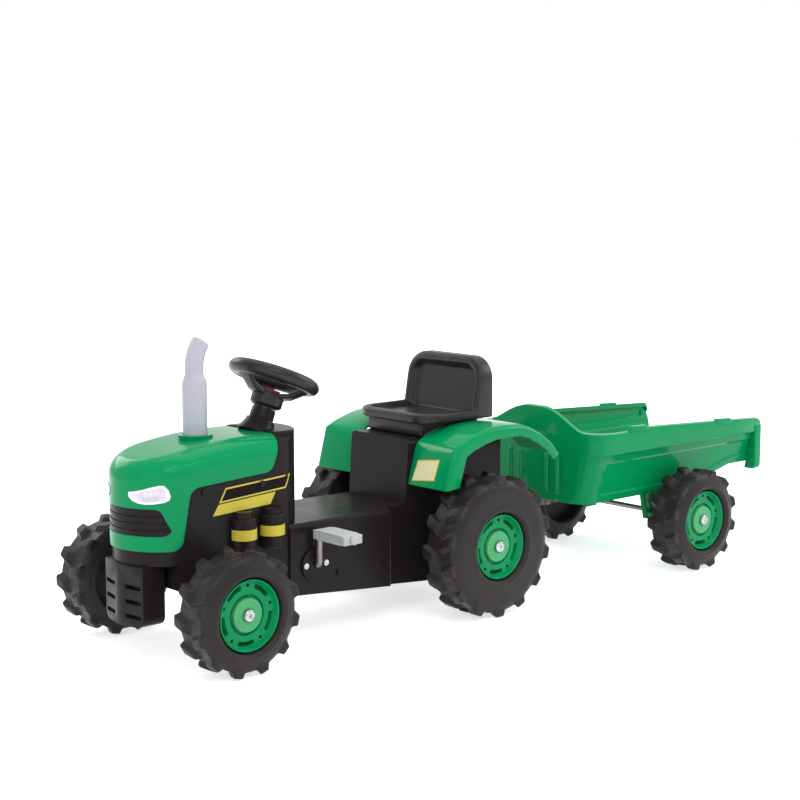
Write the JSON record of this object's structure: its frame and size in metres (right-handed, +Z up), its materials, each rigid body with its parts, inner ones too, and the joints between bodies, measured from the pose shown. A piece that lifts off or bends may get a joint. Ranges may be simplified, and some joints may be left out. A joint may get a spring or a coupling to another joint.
{
  "type": "ride-on pedal tractor with trailer",
  "caption": "Child's ride-on pedal tractor in green and black plastic, with steered front wheels, chain drive, bucket seat, and a tub trailer on a lift-out hitch pin.",
  "frame": {"origin": "on the ground in the middle plane, 66 mm behind the tractor's rear axle", "axes": "+X forward along the tractor, +Y to its left, +Z up"},
  "size_m": [1.439, 0.446, 0.5088],
  "materials": {
    "green_plastic": "glossy green moulding",
    "black_plastic": "satin black moulding",
    "tyre_plastic": "blow-moulded black plastic, satin",
    "silver_plastic": "pale silver grey moulding",
    "lamp_plastic": "white glossy lens",
    "grey_plastic": "light grey moulding",
    "bush_plastic": "white bearing plastic",
    "red_plastic": "glossy red moulding",
    "soft_rubber": "soft rubber",
    "steel": "bright zinc-plated steel"
  },
  "bodies": {
    "tractor": {"chassis_left": "black_plastic", "chassis_right": "black_plastic", "body_screws": "steel", "bonnet": "green_plastic", "front_grille": "black_plastic", "headlight_left": "lamp_plastic", "headlight_right": "lamp_plastic", "exhaust_pipe": "silver_plastic", "front_weight_block": "black_plastic", "filter_canisters": "black_plastic", "steering_tower": "black_plastic", "steering_bush": "bush_plastic", "seat": "black_plastic", "seat_bolts": "steel", "fender_left": "green_plastic", "fender_right": "green_plastic", "hitch_bracket": "black_plastic", "crank_bearing_plates": "black_plastic", "bearing_screws": "steel", "rear_axle_bushes": "bush_plastic", "front_axle_beam": "black_plastic", "kingpins": "steel", "drive_chain": "steel"},
    "steering": {"steering_shaft": "steel", "steering_wheel": "black_plastic", "steering_wheel_nut": "steel", "horn_squeaker": "soft_rubber"},
    "horn": {"horn_button": "red_plastic"},
    "left_knuckle": {"knuckle_left": "steel", "front_left_axle_cap": "steel"},
    "right_knuckle": {"knuckle_right": "steel", "front_right_axle_cap": "steel"},
    "tie": {"tie_rod": "black_plastic"},
    "front_left_wheel": {"front_left_tyre": "tyre_plastic", "front_left_hub": "green_plastic"},
    "front_right_wheel": {"front_right_tyre": "tyre_plastic", "front_right_hub": "green_plastic"},
    "crank": {"crank_shaft": "steel", "drive_sprocket": "steel", "pedal_caps": "steel"},
    "left_pedal": {"pedal_left": "grey_plastic"},
    "right_pedal": {"pedal_right": "grey_plastic"},
    "rear_drive": {"rear_axle": "steel", "driven_sprocket": "steel", "rear_axle_caps": "steel", "rear_right_tyre": "tyre_plastic", "rear_right_hub": "green_plastic"},
    "rear_left_wheel": {"rear_left_tyre": "tyre_plastic", "rear_left_hub": "green_plastic"},
    "trailer": {"trailer_tub": "green_plastic", "trailer_axle": "steel", "trailer_drawbar": "black_plastic", "drawbar_bolts": "steel", "trailer_axle_caps": "steel"},
    "trailer_left_wheel": {"trailer_left_tyre": "tyre_plastic", "trailer_left_hub": "green_plastic"},
    "trailer_right_wheel": {"trailer_right_tyre": "tyre_plastic", "trailer_right_hub": "green_plastic"},
    "pin": {"hitch_pin": "steel"}
  },
  "joints": [
    {"name": "steering_turn", "type": "hinge", "parent": "tractor", "child": "steering", "pos_m": [0.397, 0, 0.427], "axis": [-0.3866, 0, 0.9223], "range_deg": [-55, 55]},
    {"name": "horn_press", "type": "slide", "parent": "steering", "child": "horn", "axis": [-0.3866, 0, 0.9223], "range_m": [-0.003, 0], "stiffness_N_per_m": 600},
    {"name": "left_knuckle_turn", "type": "hinge", "parent": "tractor", "child": "left_knuckle", "pos_m": [0.602, 0.105, 0.0975], "axis": [0, 0, 1], "range_deg": [-17, 17]},
    {"name": "right_knuckle_turn", "type": "hinge", "parent": "tractor", "child": "right_knuckle", "pos_m": [0.602, -0.105, 0.0975], "axis": [0, 0, 1], "range_deg": [-17, 17]},
    {"name": "tie_rod_shift", "type": "slide", "parent": "tractor", "child": "tie", "axis": [0, 1, 0], "range_m": [-0.028, 0.028]},
    {"name": "front_left_spin", "type": "hinge", "parent": "left_knuckle", "child": "front_left_wheel", "pos_m": [0.602, 0, 0.0975], "axis": [0, 1, 0], "continuous": true},
    {"name": "front_right_spin", "type": "hinge", "parent": "right_knuckle", "child": "front_right_wheel", "pos_m": [0.602, 0, 0.0975], "axis": [0, 1, 0], "continuous": true},
    {"name": "rear_axle_spin", "type": "hinge", "parent": "tractor", "child": "rear_drive", "pos_m": [0.066, 0, 0.124], "axis": [0, 1, 0], "continuous": true},
    {"name": "rear_left_spin", "type": "hinge", "parent": "rear_drive", "child": "rear_left_wheel", "pos_m": [0.066, 0, 0.124], "axis": [0, 1, 0], "continuous": true},
    {"name": "crank_spin", "type": "hinge", "parent": "tractor", "child": "crank", "pos_m": [0.384, 0, 0.124], "axis": [0, 1, 0], "continuous": true},
    {"name": "left_pedal_spin", "type": "hinge", "parent": "crank", "child": "left_pedal", "pos_m": [0.384, 0, 0.18], "axis": [0, 1, 0], "continuous": true},
    {"name": "right_pedal_spin", "type": "hinge", "parent": "crank", "child": "right_pedal", "pos_m": [0.384, 0, 0.068], "axis": [0, 1, 0], "continuous": true},
    {"name": "hitch_yaw", "type": "hinge", "parent": "tractor", "child": "trailer", "pos_m": [-0.125, 0, 0.138], "axis": [0, 0, 1], "range_deg": [-30, 30]},
    {"name": "hitch_pin_lift", "type": "slide", "parent": "tractor", "child": "pin", "axis": [0, 0, 1], "range_m": [0, 0.045]},
    {"name": "trailer_left_spin", "type": "hinge", "parent": "trailer", "child": "trailer_left_wheel", "pos_m": [-0.477, 0, 0.0975], "axis": [0, 1, 0], "continuous": true},
    {"name": "trailer_right_spin", "type": "hinge", "parent": "trailer", "child": "trailer_right_wheel", "pos_m": [-0.477, 0, 0.0975], "axis": [0, 1, 0], "continuous": true}
  ],
  "couplings": [
    {"joint": "left_knuckle_turn", "follows": "steering_turn", "ratio": 0.30663},
    {"joint": "right_knuckle_turn", "follows": "steering_turn", "ratio": 0.30663},
    {"joint": "tie_rod_shift", "follows": "steering_turn", "m_per_rad": -0.029014},
    {"joint": "crank_spin", "follows": "rear_axle_spin", "ratio": 0.625}
  ]
}
